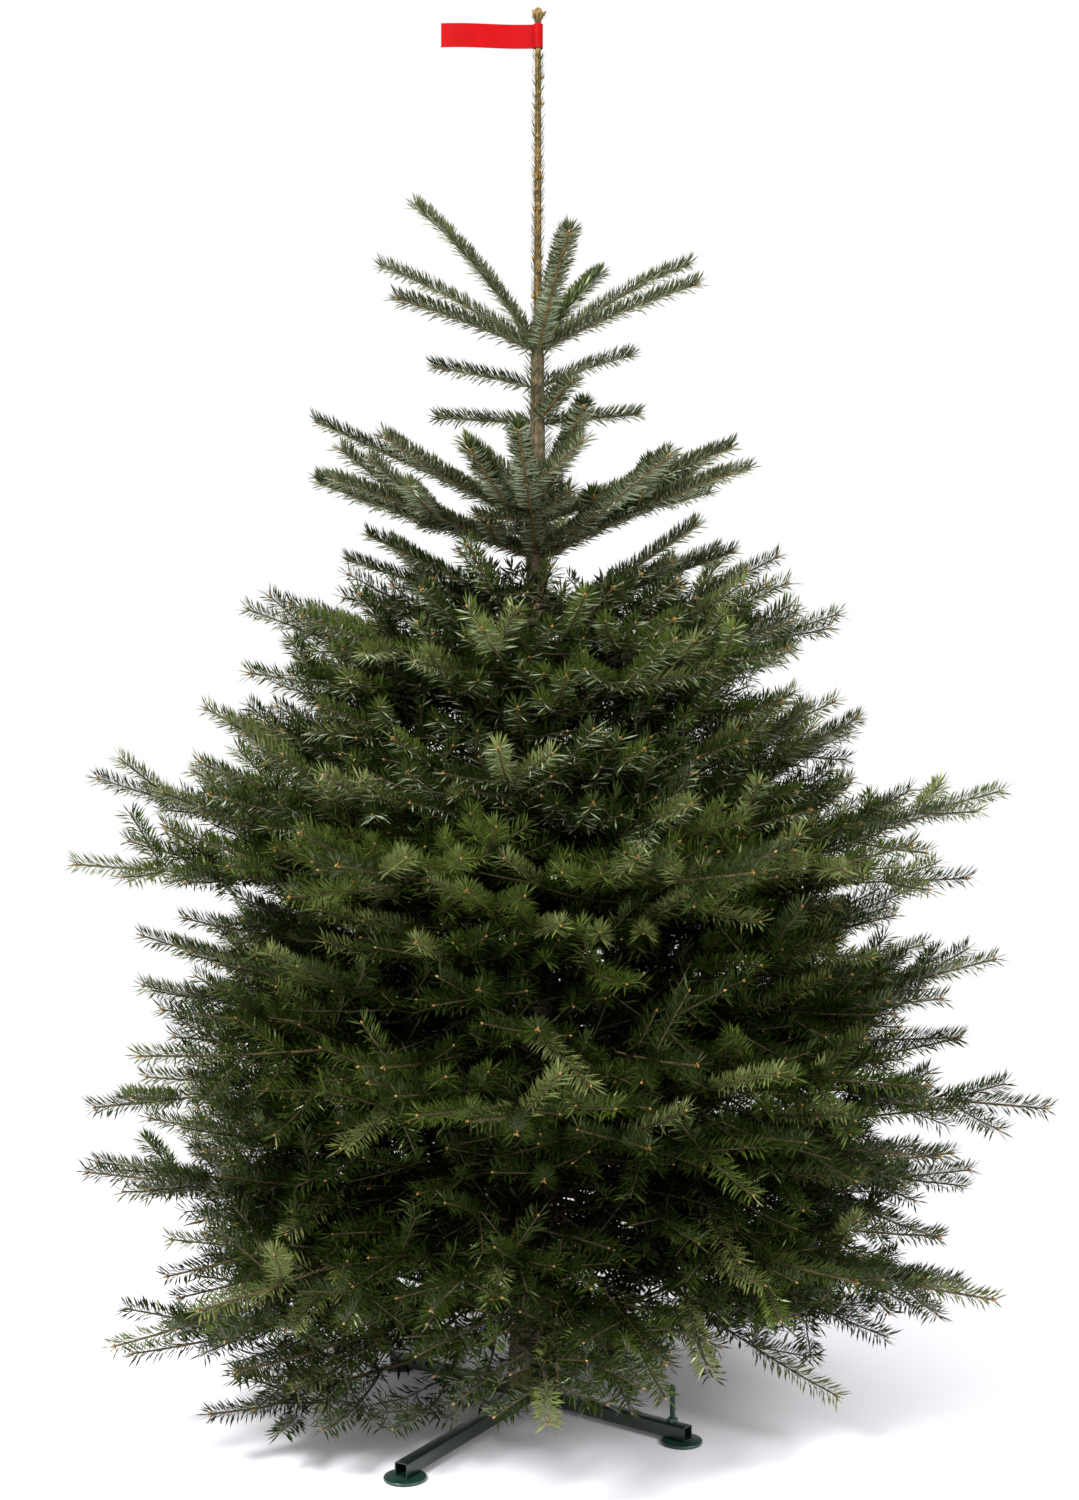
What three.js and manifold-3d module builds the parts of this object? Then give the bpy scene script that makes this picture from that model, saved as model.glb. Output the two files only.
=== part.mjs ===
// A cut fir of 2.1 m on a steel cross stand, in millimetres, +Z up.
// The trunk, the bare stretches of the main boughs, each mass of needles and each piece of the stand is a
// solid of its own. The tree is worked out round the trunk's foot, and the whole is then centred on its box.
import * as THREE from "three";
import { mergeVertices } from "three/addons/utils/BufferGeometryUtils.js";
import Module from "manifold-3d";

const wasm = await Module();
wasm.setup();

// Driving dimensions of the tree
const TREE_TOP = 2100;
const TRUNK_FOOT = 30;
const LEAN = 9; // how far the tip stands to +X of the foot
const SWAY = 2; // the bow of the trunk between foot and tip
const GAP = 0.4; // between pieces that touch
const BRUSH = 27; // from a shoot's middle to the ends of its needles

// Driving dimensions of the stand
const TUBE = 20;
const TUBE_WALL = 1.6;
const FOOT_RADIUS = 29;
const FOOT_THICK = 5;
const FOOT_INSET = 10; // from a tube's end to the middle of its foot
const LONG_ARM = { turn: -119.5, reach: 355 };
const SHORT_ARM = { turn: -38, reach: 280 };
const PLATE_RADIUS = 42;
const PLATE_THICK = 4;
const PIN_RADIUS = 11;
const PIN_LENGTH = 110;
const SCREW_RADIUS = 4;
const SCREW_LENGTH = 52;

// The trunk's radius at heights above the floor, from the cut foot to the terminal bud
const TAPER = [
  [TRUNK_FOOT, 41], [55, 37], [110, 34.5], [300, 32], [760, 25], [1030, 20], [1264, 15.5],
  [1474, 11.5], [1565, 10.5], [1600, 6.6], [1900, 5.4], [2076, 4.8], [2084, 8.5], [2092, 7], [TREE_TOP, 2.5],
];

// The tiers of the crown, from the top down. A bough is [turn in degrees from +X, reach, rise of its tip].
// broad is a mass's half width as a share of its reach, up and down its depth over and under the limb at
// its deepest, bare the stretch of limb that shows beside the trunk, and bow how much a rising limb flattens
// towards its tip, or steepens where it is under 0.
const TIERS = [
  { name: "top_shoot", height: 1579, broad: 0, up: BRUSH, down: BRUSH, bare: 0, bow: 0.3, boughs: [
    [150, 225, 255], [172, 245, 140], [-158, 225, 62], [-79, 235, 122], [64, 233, 172], [15, 244, 150],
    [-15, 249, 89]] },
  { name: "upper_spray", height: 1524, broad: 0, up: BRUSH - 4, down: BRUSH - 4, bare: 0, bow: 0.3, boughs: [
    [178, 160, 34], [12, 150, 58]] },
  { name: "lower_spray", height: 1470, broad: 0, up: BRUSH - 4, down: BRUSH - 4, bare: 0, bow: 0.3, boughs: [
    [170, 160, 15], [-4, 155, 14], [-60, 105, 50]] },
  { name: "second_whorl", height: 1264, broad: 0.46, up: 66, down: 66, bare: 85, bow: 0.3, boughs: [
    [-150, 335, 100], [166, 354, 140], [-95, 300, 150], [-36, 340, 105], [18, 352, 158], [95, 330, 150]] },
  { name: "short_bough", height: 1165, broad: 0.22, up: 26, down: 30, bare: 0, bow: 0.1, boughs: [
    [176, 292, 105], [-10, 300, 110]] },
  { name: "third_whorl", height: 1030, broad: 0.52, up: 88, down: 132, bare: 0, bow: 0, boughs: [
    [168, 465, 172], [-155, 450, 60], [-100, 410, 110], [-40, 450, 90], [14, 490, 165], [95, 440, 150]] },
  { name: "fourth_whorl", height: 770, broad: 0.52, up: 126, down: 130, bare: 0, bow: -0.3, boughs: [
    [168, 714, 168], [-165, 678, 50], [-115, 580, 70], [-62, 580, 60], [-16, 640, 30], [9, 742, 148],
    [88, 630, 125]] },
  { name: "fifth_whorl", height: 520, broad: 0.52, up: 122, down: 124, bare: 0, bow: -0.3, boughs: [
    [167, 640, 90], [-160, 655, -35], [-92, 580, 0], [-18, 750, -35], [11, 745, 132], [90, 640, 60]] },
  { name: "bottom_whorl", height: 285, broad: 0.52, up: 112, down: 160, bare: 0, bow: -0.2, boughs: [
    [170, 700, 50], [-150, 650, -100], [-88, 560, -120], [-24, 690, -50], [16, 735, 20], [94, 650, 20]] },
];

const degrees = THREE.MathUtils.degToRad;
const lerp = THREE.MathUtils.lerp;
const clamp = THREE.MathUtils.clamp;

function finish(name, color, roughness, metalness) {
  return new THREE.MeshStandardMaterial({ name, color, roughness, metalness });
}

const bark = finish("bark", 0x6b5440, 0.9, 0);
const needles = finish("needles", 0x2c4a1e, 0.6, 0);
const paint = finish("paint", 0x10291f, 0.4, 0.2);
const paper = finish("paper", 0xd01217, 0.5, 0);

// A repeatable number from 0 to 1 for a whole number
function chance(seed) {
  const wave = Math.sin(seed * 127.1 + 311.7) * 43758.5453;
  return wave - Math.floor(wave);
}

// The middle of the trunk at a height: a lean with a slight bow
function trunkX(height) {
  const share = (height - TRUNK_FOOT) / (TREE_TOP - TRUNK_FOOT);
  return LEAN * share + SWAY * Math.sin(Math.PI * share);
}

function trunkRadius(height) {
  const next = TAPER.findIndex(([at]) => at >= height);
  if (next < 1) return TAPER[Math.max(next, 0)][1];
  const [[low, thick], [high, thin]] = [TAPER[next - 1], TAPER[next]];
  return lerp(thick, thin, (height - low) / (high - low));
}

// A closed solid through rings of corners, each a list of Vector3 the same way round, with flat ends
function loft(rings) {
  const sides = rings[0].length;
  const corners = rings.flat();
  const faces = [];
  for (let ring = 0; ring + 1 < rings.length; ring++) {
    for (let side = 0; side < sides; side++) {
      const a = ring * sides + side;
      const b = ring * sides + ((side + 1) % sides);
      faces.push(a, b, b + sides, a, b + sides, a + sides);
    }
  }
  for (const [ring, forward] of [[0, false], [rings.length - 1, true]]) {
    const middle = corners.length;
    corners.push(rings[ring].reduce((sum, p) => sum.add(p), new THREE.Vector3()).divideScalar(sides));
    for (let side = 0; side < sides; side++) {
      const a = ring * sides + side;
      const b = ring * sides + ((side + 1) % sides);
      faces.push(...(forward ? [middle, a, b] : [middle, b, a]));
    }
  }
  return new THREE.BufferGeometry().setFromPoints(corners).setIndex(faces);
}

function solid(geometry) {
  const bare = geometry.clone();
  bare.deleteAttribute("normal");
  bare.deleteAttribute("uv");
  const merged = mergeVertices(bare, 1e-3);
  return new wasm.Manifold(new wasm.Mesh({
    numProp: 3,
    vertProperties: merged.attributes.position.array,
    triVerts: new Uint32Array(merged.index.array),
  }));
}

function geometryOf(manifold) {
  const { vertProperties, triVerts } = manifold.getMesh();
  return new THREE.BufferGeometry()
    .setAttribute("position", new THREE.BufferAttribute(vertProperties, 3))
    .setIndex(new THREE.BufferAttribute(triVerts, 1));
}

// The trunk, one piece from the cut foot to the bud, drilled from below for the stand's pin
function makeTrunk() {
  const sides = 14;
  const rings = TAPER.map(([height, radius]) =>
    Array.from({ length: sides }, (_, side) => {
      const angle = (side / sides) * 2 * Math.PI;
      return new THREE.Vector3(
        trunkX(height) + radius * Math.cos(angle), radius * Math.sin(angle), height);
    }));
  const depth = PIN_LENGTH + 6;
  const drill = new THREE.CylinderGeometry(PIN_RADIUS + 1, PIN_RADIUS + 1, 2 * depth, 16);
  drill.rotateX(Math.PI / 2);
  drill.translate(trunkX(TRUNK_FOOT), 0, TRUNK_FOOT);
  return geometryOf(solid(loft(rings)).subtract(solid(drill)));
}

// How high a limb stands at a share of its reach. A limb that sinks does so near the trunk and then levels
// out.
function limbHeight(tier, rise, share) {
  const bow = rise > 0 ? tier.bow : 0.3;
  return tier.height + rise * ((1 + bow) * share - bow * share * share);
}

// Half the angle, in radians, from a bough to the nearest one of its tier
function freeAngle(tier, turn) {
  const turns = tier.boughs.map(([other]) => Math.abs(((turn - other + 540) % 360) - 180));
  return degrees(Math.min(...turns.filter((apart) => apart > 0), 76) / 2);
}

// A ring across a limb, upright and square to its turn
function crossRing(tier, turn, along, height, wide, up, down, sides) {
  const out = new THREE.Vector3(Math.cos(degrees(turn)), Math.sin(degrees(turn)), 0);
  const across = new THREE.Vector3(-out.y, out.x, 0);
  const middle = new THREE.Vector3(trunkX(tier.height), 0, height).addScaledVector(out, along);
  return Array.from({ length: sides }, (_, side) => {
    const angle = (side / sides) * 2 * Math.PI;
    const lift = Math.sin(angle) > 0 ? up : down;
    return middle.clone().addScaledVector(across, wide * Math.cos(angle))
      .add(new THREE.Vector3(0, 0, lift * Math.sin(angle)));
  });
}

// A mass of needles: a single needled shoot where the tier is not broad, or else a spray that is broadest
// before its middle and ends in one long shoot
function makeMass(tier, [turn, reach, rise], seed) {
  const stations = tier.broad ? 9 : 5;
  const sides = tier.broad ? 10 : 8;
  const start = tier.bare || trunkRadius(tier.height - 1.1 * tier.down) + 4;
  const spread = freeAngle(tier, turn);
  const rings = [];
  for (let station = 0; station <= stations; station++) {
    const share = station / stations;
    const along = lerp(start, reach, share);
    const leaf = tier.broad * reach * Math.pow(Math.sin(Math.PI * Math.min(share * 0.9 + 0.12, 1)), 1.6);
    const uneven = 1 + 0.34 * (chance(seed + station * 7) - 0.5);
    const round = Math.sqrt(clamp((1 - share) * 9 + 0.12, 0, 1));
    const room = Math.max(along * Math.tan(spread) - 1.2, 0.8);
    const wide = Math.min(Math.max(leaf * uneven, BRUSH) * round, room);
    const deep = tier.broad ? clamp(Math.sin(Math.PI * Math.min(share * 0.75 + 0.3, 1)) * 1.05, 0, 1) : 1;
    const up = lerp(BRUSH * 0.8, tier.up, deep) * round * (1 + 0.2 * (chance(seed + station * 3) - 0.5));
    const down = lerp(BRUSH * 0.8, tier.down, deep) * round * (1 + 0.2 * (chance(seed + station * 5) - 0.5));
    rings.push(crossRing(tier, turn, along, limbHeight(tier, rise, along / reach), wide, up, down, sides));
  }
  return loft(rings);
}

// The bare stretch of a bough, from the trunk's bark to the mass that hides the rest
function makeLimb(tier, [turn, reach, rise]) {
  const start = trunkRadius(tier.height) + 3;
  const rings = [0, 0.5, 1].map((share) => {
    const along = lerp(start, tier.bare - GAP, share);
    const thick = lerp(7, 5.5, share);
    return crossRing(tier, turn, along, limbHeight(tier, rise, along / reach), thick, thick, thick, 8);
  });
  return loft(rings);
}

// A square tube of the stand, open at its outer end, from one distance to another along its turn
function makeTube(turn, from, to) {
  const half = TUBE / 2;
  const inner = half - TUBE_WALL;
  const section = new THREE.Shape([
    new THREE.Vector2(-half, -half), new THREE.Vector2(half, -half),
    new THREE.Vector2(half, half), new THREE.Vector2(-half, half)]);
  section.holes.push(new THREE.Path([
    new THREE.Vector2(-inner, -inner), new THREE.Vector2(-inner, inner),
    new THREE.Vector2(inner, inner), new THREE.Vector2(inner, -inner)]));
  const tube = new THREE.ExtrudeGeometry(section, { depth: to - from, bevelEnabled: false, steps: 1 });
  tube.rotateY(Math.PI / 2);
  tube.translate(from, 0, FOOT_THICK + GAP + half);
  tube.rotateZ(degrees(turn));
  return tube;
}

// The welded cross: a long bar with a shorter one butted against each of its sides
function makeFrame() {
  const weld = (TUBE - TUBE_WALL) / 2;
  const bars = [
    makeTube(LONG_ARM.turn, -LONG_ARM.reach, LONG_ARM.reach),
    makeTube(SHORT_ARM.turn, weld, SHORT_ARM.reach),
    makeTube(SHORT_ARM.turn + 180, weld, SHORT_ARM.reach)];
  return geometryOf(wasm.Manifold.union(bars.map(solid)));
}

// A round foot: a flat disc with an eased rim
function makeFoot() {
  const ease = 1.5;
  const profile = [[0, 0], [FOOT_RADIUS - ease, 0], [FOOT_RADIUS, ease], [FOOT_RADIUS, FOOT_THICK - ease],
    [FOOT_RADIUS - ease, FOOT_THICK], [0, FOOT_THICK]].map(([r, z]) => new THREE.Vector2(r, z));
  const foot = new THREE.LatheGeometry(profile, 24);
  foot.rotateX(Math.PI / 2);
  return foot;
}

// The plate that the cut trunk stands on, with the pin that goes up into the drilled hole
function makePinPlate() {
  const bottom = FOOT_THICK + TUBE + 2 * GAP;
  const top = TRUNK_FOOT - GAP;
  const profile = [[0, bottom], [PLATE_RADIUS, bottom], [PLATE_RADIUS, top], [PIN_RADIUS, top],
    [PIN_RADIUS, top + PIN_LENGTH - PIN_RADIUS], [PIN_RADIUS * 0.4, top + PIN_LENGTH], [0, top + PIN_LENGTH]]
    .map(([r, z]) => new THREE.Vector2(r, z));
  const plate = new THREE.LatheGeometry(profile, 28);
  plate.rotateX(Math.PI / 2);
  plate.translate(trunkX(TRUNK_FOOT), 0, 0);
  return plate;
}

// The threaded spindle over the one foot that can be levelled
function makeScrew() {
  const screw = new THREE.CylinderGeometry(SCREW_RADIUS, SCREW_RADIUS, SCREW_LENGTH, 14);
  screw.rotateX(Math.PI / 2);
  screw.translate(SHORT_ARM.reach - 26, 0, FOOT_THICK + TUBE + 2 * GAP + SCREW_LENGTH / 2);
  screw.rotateZ(degrees(SHORT_ARM.turn));
  return screw;
}

// A blank paper flag: one strip folded round the leader, with its two ends stuck together
function makeFlag() {
  const [length, height, sheet, loop] = [146, 38, 0.5, 7.5];
  const outline = new THREE.Shape();
  outline.moveTo(-length, -sheet);
  outline.lineTo(-loop, -sheet);
  outline.absarc(0, 0, loop, Math.PI + 0.35, Math.PI * 3 - 0.35, false);
  outline.lineTo(-length, sheet);
  outline.closePath();
  const hole = new THREE.Path();
  hole.absarc(0, 0, loop - sheet, 0, 2 * Math.PI, true);
  outline.holes.push(hole);
  const flag = new THREE.ExtrudeGeometry(outline, { depth: height, bevelEnabled: false, curveSegments: 10 });
  const level = 2036;
  flag.rotateZ(degrees(1));
  flag.translate(trunkX(level), 0, level);
  return flag;
}

const tree = new THREE.Group();

function add(name, geometry, material) {
  const mesh = new THREE.Mesh(geometry, material);
  mesh.name = name;
  tree.add(mesh);
  return mesh;
}

add("trunk", makeTrunk(), bark);
TIERS.forEach((tier, level) => {
  tier.boughs.forEach((bough, index) => {
    if (tier.bare) add(`${tier.name}_bough_${index + 1}`, makeLimb(tier, bough), bark);
    add(`${tier.name}_${index + 1}`, makeMass(tier, bough, level * 101 + index * 13), needles);
  });
});
add("flag", makeFlag(), paper);

add("cross_frame", makeFrame(), paint);
add("pin_plate", makePinPlate(), paint);
add("levelling_screw", makeScrew(), paint);
[LONG_ARM.turn, LONG_ARM.turn + 180, SHORT_ARM.turn, SHORT_ARM.turn + 180].forEach((turn, index) => {
  const reach = index < 2 ? LONG_ARM.reach : SHORT_ARM.reach;
  const foot = add(`foot_${index + 1}`, makeFoot(), paint);
  foot.position.set(reach - FOOT_INSET, 0, 0).applyAxisAngle(new THREE.Vector3(0, 0, 1), degrees(turn));
});

// The frame: the middle of the object's own box, on the floor
const middle = new THREE.Box3().setFromObject(tree).getCenter(new THREE.Vector3());
tree.position.set(-middle.x, -middle.y, 0);

export default tree;
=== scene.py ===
# %% [markdown]
# # A cut fir on its cross stand
# This lesson grows the looks of a two-metre fir round a measured model of it. The model gives the trunk, a
# few bare stretches of bough, the stand, and one rough solid for each bough's mass of needles. Here every
# mass is replaced by what is really there: a limb, its side shoots, their needles and their buds. The order
# is the tree's own: wood first, then shoots, then needles and buds, then the stand it was put in.

import math

import bpy
import numpy as np
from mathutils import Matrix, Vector, noise


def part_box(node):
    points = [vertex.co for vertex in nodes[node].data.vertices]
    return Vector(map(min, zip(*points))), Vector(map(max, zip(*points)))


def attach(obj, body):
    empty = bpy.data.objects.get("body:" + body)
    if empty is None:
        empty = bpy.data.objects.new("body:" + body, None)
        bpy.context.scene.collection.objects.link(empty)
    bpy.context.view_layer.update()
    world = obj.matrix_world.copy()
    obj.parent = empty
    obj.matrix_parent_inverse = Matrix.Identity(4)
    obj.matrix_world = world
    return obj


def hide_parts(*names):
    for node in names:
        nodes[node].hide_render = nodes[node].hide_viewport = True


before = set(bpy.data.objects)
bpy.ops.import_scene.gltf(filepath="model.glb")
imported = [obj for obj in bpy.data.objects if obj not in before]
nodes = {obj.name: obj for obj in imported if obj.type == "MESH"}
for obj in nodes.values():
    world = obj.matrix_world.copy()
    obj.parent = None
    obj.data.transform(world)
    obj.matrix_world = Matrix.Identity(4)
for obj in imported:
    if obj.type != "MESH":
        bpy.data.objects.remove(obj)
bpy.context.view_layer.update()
rng = np.random.default_rng(31)

# %% [markdown]
# ## Small helpers
# A direction in space is a list of three numbers. Growing a plant needs only three moves on such lists:
# bring one to length 1, turn one about another, and find the sideways direction of a shoot. They are
# written once, here.

# %% Directions
UP = np.array([0.0, 0.0, 1.0])


def unit(v):
    return v / max(np.linalg.norm(v), 1e-9)


def turned(v, axis, angle):
    """v turned about a unit axis by an angle in radians."""
    c, s = math.cos(angle), math.sin(angle)
    return v * c + np.cross(axis, v) * s + axis * np.dot(axis, v) * (1 - c)


def upward(heading):
    """The direction square to a heading that points most nearly up."""
    rise = UP - heading * np.dot(UP, heading)
    return unit(rise) if np.linalg.norm(rise) > 0.05 else unit(np.cross(heading, np.array([0.0, 1.0, 0.0])))


def level_heading(turn, rise=0.0):
    """The unit direction at a turn from +X, both angles in radians."""
    return np.array([math.cos(turn) * math.cos(rise), math.sin(turn) * math.cos(rise), math.sin(rise)])


print("a shoot that heads for +X has its upper side at", upward(level_heading(0.0)).round(2))

# %% [markdown]
# Blender works in linear light, but colours are easiest to name as sRGB hex values, as a paint chart does.
# One function turns the one into the other. A second one adds a node to any tree, sets it up and links it,
# so that every material and every Geometry Nodes tree below reads as a list of what it is made of. Most
# real surfaces are two close colours that drift into each other, some with a fine relief, so those two have
# functions as well.

# %% Colours and nodes
RAMP_ENDS = (0.36, 0.64)


def linear(hex_colour):
    """An sRGB hex colour as linear red, green, blue and alpha."""
    parts = [int(hex_colour[i:i + 2], 16) / 255 for i in (1, 3, 5)]
    return [c / 12.92 if c <= 0.04045 else ((c + 0.055) / 1.055) ** 2.4 for c in parts] + [1.0]


def add(tree, kind, settings=None, inputs=None):
    """Adds a node. An input is a plain value, or the output socket that feeds it."""
    node = tree.nodes.new(kind)
    for name, value in (settings or {}).items():
        setattr(node, name, value)
    for name, value in (inputs or {}).items():
        if isinstance(value, bpy.types.NodeSocket):
            tree.links.new(value, node.inputs[name])
        else:
            node.inputs[name].default_value = value
    return node


def new_mesh(name, corners, edges, faces, material=None):
    mesh = bpy.data.meshes.new(name)
    mesh.from_pydata([tuple(c) for c in corners], edges, faces)
    if material:
        mesh.materials.append(material)
    return mesh


def add_object(name, data):
    """An object at the origin, linked to the scene."""
    made = bpy.data.objects.new(name, data)
    bpy.context.scene.collection.objects.link(made)
    return made


def new_material(name, **shader):
    """A material with one Principled shader, and its tree, shader and coordinates to build on."""
    material = bpy.data.materials.new(name)
    material.use_nodes = True
    tree = material.node_tree
    principled = tree.nodes["Principled BSDF"]
    for socket, value in shader.items():
        principled.inputs[socket.replace("_", " ")].default_value = value
    return material, tree, principled, add(tree, "ShaderNodeTexCoord").outputs["Object"]


def patchy(tree, coordinates, size, low, high, detail=3.0):
    """A colour that drifts between two hex colours in patches of about a size in metres."""
    pattern = add(tree, "ShaderNodeTexNoise", {}, {
        "Vector": coordinates, "Scale": 1 / size, "Detail": detail})
    ramp = add(tree, "ShaderNodeValToRGB", {}, {"Fac": pattern.outputs["Fac"]})
    for stop, position, colour in zip(ramp.color_ramp.elements, RAMP_ENDS, (low, high)):
        stop.position, stop.color = position, linear(colour)
    return ramp.outputs["Color"]


def drifting(name, size, low, high, **shader):
    """A material whose colour drifts between two, with the same things to build on."""
    material, tree, principled, place = new_material(name, **shader)
    tree.links.new(patchy(tree, place, size, low, high), principled.inputs["Base Color"])
    return material, tree, principled, place


def roughen(tree, principled, coordinates, grain, detail, strength, depth):
    """Fine relief: grains of a size in metres, and how far they stand proud."""
    grains = add(tree, "ShaderNodeTexNoise", {}, {
        "Vector": coordinates, "Scale": 1 / grain, "Detail": detail})
    bump = add(tree, "ShaderNodeBump", {}, {
        "Strength": strength, "Distance": depth, "Height": grains.outputs["Fac"]})
    tree.links.new(bump.outputs["Normal"], principled.inputs["Normal"])


print("sRGB #808080 is", round(linear("#808080")[0], 3), "in linear light")

# %% [markdown]
# ## The needles' colours
# A fir needle is a living leaf under a coat of wax. The wax gives a soft gloss, as satin paint has, over a
# deep green. Its underside has two white bands of breathing pores, so a shoot seen from below looks pale
# and bluish. The colour belongs to the shoot: last summer's are a fresher green than the old ones near the
# trunk. Two tones are partly painted light: the near-black one is painted shade inside the crown, and the
# light tip tone painted light on the outermost new tips. So each tone is a plain material of its own, dealt
# out by spray, with only a slight drift inside it.

# %% Needle materials
NEEDLE_TONES = {
    # The tip tone is partly painted light on the outermost new tips.
    "tip_needle": ("#697243", "#515b2b", 0.26),
    "fresh_needle": ("#485521", "#334114", 0.26),
    "green_needle": ("#2a3710", "#1b2608", 0.28),
    # The deep tone is partly painted shade: it stands for the dark inside of the crown.
    "deep_needle": ("#0f1606", "#080c03", 0.36),
    "grey_needle": ("#575e3e", "#3b4127", 0.34),
    "pale_underside": ("#9da58a", "#7b8267", 0.55),
}
WAX_TINT = "#e6f0b4"
TONE_PATCH = 0.09


def waxy_needle(name, light, dark, roughness):
    """Waxed leaf, IOR 1.43: a satin green, with a sheen that the green shows through."""
    return drifting(name, TONE_PATCH, dark, light, Roughness=roughness, IOR=1.43,
                    Specular_Tint=linear(WAX_TINT))[0]


needle_materials = {name: waxy_needle(name, *tone) for name, tone in NEEDLE_TONES.items()}
print("needle materials", len(needle_materials))

# %% [markdown]
# ## The bark's colours
# Young fir bark is smooth and grey-brown, with resin blisters under it and fine cross wrinkles. The
# youngest wood, the leader and the last few shoots, is still tan and slightly hairy. Buds are wrapped in
# red-brown scales with a little resin on them, which makes them shine.

# %% Wood materials
# Each bark: its two browns, the size and the height of its relief in metres, and its roughness.
BARKS = {
    "grey_brown_trunk_bark": ("#665640", "#362b1e", 0.006, 0.0012, 0.85),
    "tan_leader_bark": ("#7d6030", "#3a2b15", 0.003, 0.0006, 0.8),
    "grey_olive_bough_bark": ("#5c4c2c", "#382d18", 0.004, 0.0007, 0.85),
    "olive_twig_bark": ("#4c4022", "#2e2612", 0.003, 0.0004, 0.85),
    "golden_young_bark": ("#8d6f3c", "#5f4a26", 0.003, 0.0004, 0.8),
}
WRINKLES_RUN_ROUND = (1.0, 1.0, 2.6)


def wrinkled_bark(name, light, dark, grain, depth, roughness):
    """Smooth young bark: patches of two browns under fine wrinkles."""
    material, tree, shader, place = new_material(name, Roughness=roughness, IOR=1.45)
    squeezed = add(tree, "ShaderNodeMapping", {}, {
        "Vector": place, "Scale": WRINKLES_RUN_ROUND}).outputs["Vector"]
    tree.links.new(patchy(tree, squeezed, grain * 6, dark, light, 6.0), shader.inputs["Base Color"])
    roughen(tree, shader, squeezed, grain, 5.0, 0.7, depth)
    return material


trunk_bark, leader_bark, bough_bark, twig_bark, young_bark = [
    wrinkled_bark(name, *look) for name, look in BARKS.items()]
bud_scales = drifting("resin_bud_scales", 0.02, "#7c5c2c", "#a07c42", Roughness=0.32, IOR=1.5)[0]
print("barks", len(BARKS))

# %% [markdown]
# ## Read the trunk
# The trunk of the model is a stack of rings. For each height the ring's middle gives the trunk's lean, and
# its widest reach the radius. The hole drilled in the foot leaves rings of its own, which are narrower than
# any bark so low down, so they are passed over.

# %% The trunk's axis and radius
NARROWEST_LOW_BARK = 0.02
DRILL_TOP = 0.2


def points_of(name):
    """A node's corners as an array, one row each."""
    mesh = nodes[name].data
    flat = np.zeros(len(mesh.vertices) * 3)
    mesh.vertices.foreach_get("co", flat)
    return flat.reshape(-1, 3)


def ring_table(points):
    """Heights, middles and radii of the rings of an upright stack of rings."""
    rows = []
    for height in sorted(set(np.round(points[:, 2], 4))):
        ring = points[np.abs(points[:, 2] - height) < 2e-4]
        middle = (ring.max(0) + ring.min(0)) / 2
        radius = np.linalg.norm(ring[:, :2] - middle[:2], axis=1).max()
        if height > DRILL_TOP or radius > NARROWEST_LOW_BARK:
            rows.append((height, middle[0], middle[1], radius))
    return np.array(rows)


trunk_rings = ring_table(points_of("trunk"))
trunk_foot, tree_top = trunk_rings[0, 0], trunk_rings[-1, 0]


def trunk_middle(height):
    return np.array([np.interp(height, trunk_rings[:, 0], trunk_rings[:, 1]),
                     np.interp(height, trunk_rings[:, 0], trunk_rings[:, 2]), height])


def trunk_radius(height):
    return np.interp(height, trunk_rings[:, 0], trunk_rings[:, 3])


print("trunk", len(trunk_rings), "rings, foot radius", round(trunk_radius(trunk_foot) * 1000, 1), "mm")

# %% [markdown]
# ## Read the masses
# A mass of needles is a stack of upright rings strung out along its bough. From the way its corners lie
# round the trunk come the bough's turn, and from each ring the limb's height and how wide and deep the
# foliage is there. That is all a bough needs in order to grow back: where it starts, where it ends, and how
# much room it has.

# %% Each mass as a bough to grow
TIER_SEASONS = {"top_shoot": 1, "upper_spray": 1, "lower_spray": 1, "second_whorl": 2, "short_bough": 2,
                "third_whorl": 4, "fourth_whorl": 5, "fifth_whorl": 5, "bottom_whorl": 5}


def read_mass(name):
    """A bough's turn, and along it the limb's height, the half width and the depth over and under it."""
    points = points_of(name)
    root = trunk_middle(points[:, 2].mean())
    out = unit(np.append((points[:, :2] - root[:2]).mean(0), 0.0))
    side = np.array([-out[1], out[0], 0.0])
    along = (points - root) @ out
    across = np.abs((points - root) @ side)
    table = []
    for reach in sorted(set(np.round(along, 3))):
        ring = np.abs(along - reach) < 1.5e-3
        heights = points[ring][:, 2]
        limb = heights[np.argmax(across[ring])]
        table.append((reach, limb, across[ring].max(), heights.max() - limb, limb - heights.min()))
    return {"tier": name.rsplit("_", 1)[0], "out": out, "root": root, "table": np.array(table)}


mass_names = sorted(n for n in nodes if n.rsplit("_", 1)[0] in TIER_SEASONS)
masses = [read_mass(n) for n in mass_names]
print("masses", len(masses))

# %% [markdown]
# ## How a fir grows
# A fir adds one straight shoot to the end of every limb each summer, and a fork of side shoots at the end
# of each shoot of the year before, with a few weaker ones between. So a limb that is four summers old has
# four shoots in line, and its side limbs are three, two and one summers old from the trunk outwards.
# Repeating that rule gives the flat, kite-shaped fans of a real bough. A point is kept for every step along
# a shoot, with its thickness, how many needles it still carries, and how far along its shoot it is.

# %% One summer's shoot
# By order of branching, 0 for a main limb: the straight pieces that a shoot is drawn with, the share of
# needles on a new shoot, and how long a side limb's shoots are beside its parent's.
STEPS = {0: 5, 1: 3, 2: 2}
NEW_SHOOTS_CARRY = [1.0, 0.95, 0.68]
SIDE_LENGTH = {1: 0.8, 2: 0.76}
# By age in summers: the share of needles on an older shoot.
OLD_SHOOTS_CARRY = [0.7, 0.62, 0.56, 0.5, 0.42]
SHOOT_START, SHOOT_END, YEARLY_WOOD = 0.0019, 0.0014, 0.0011
FINEST_TWIGS = 0.8
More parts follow.
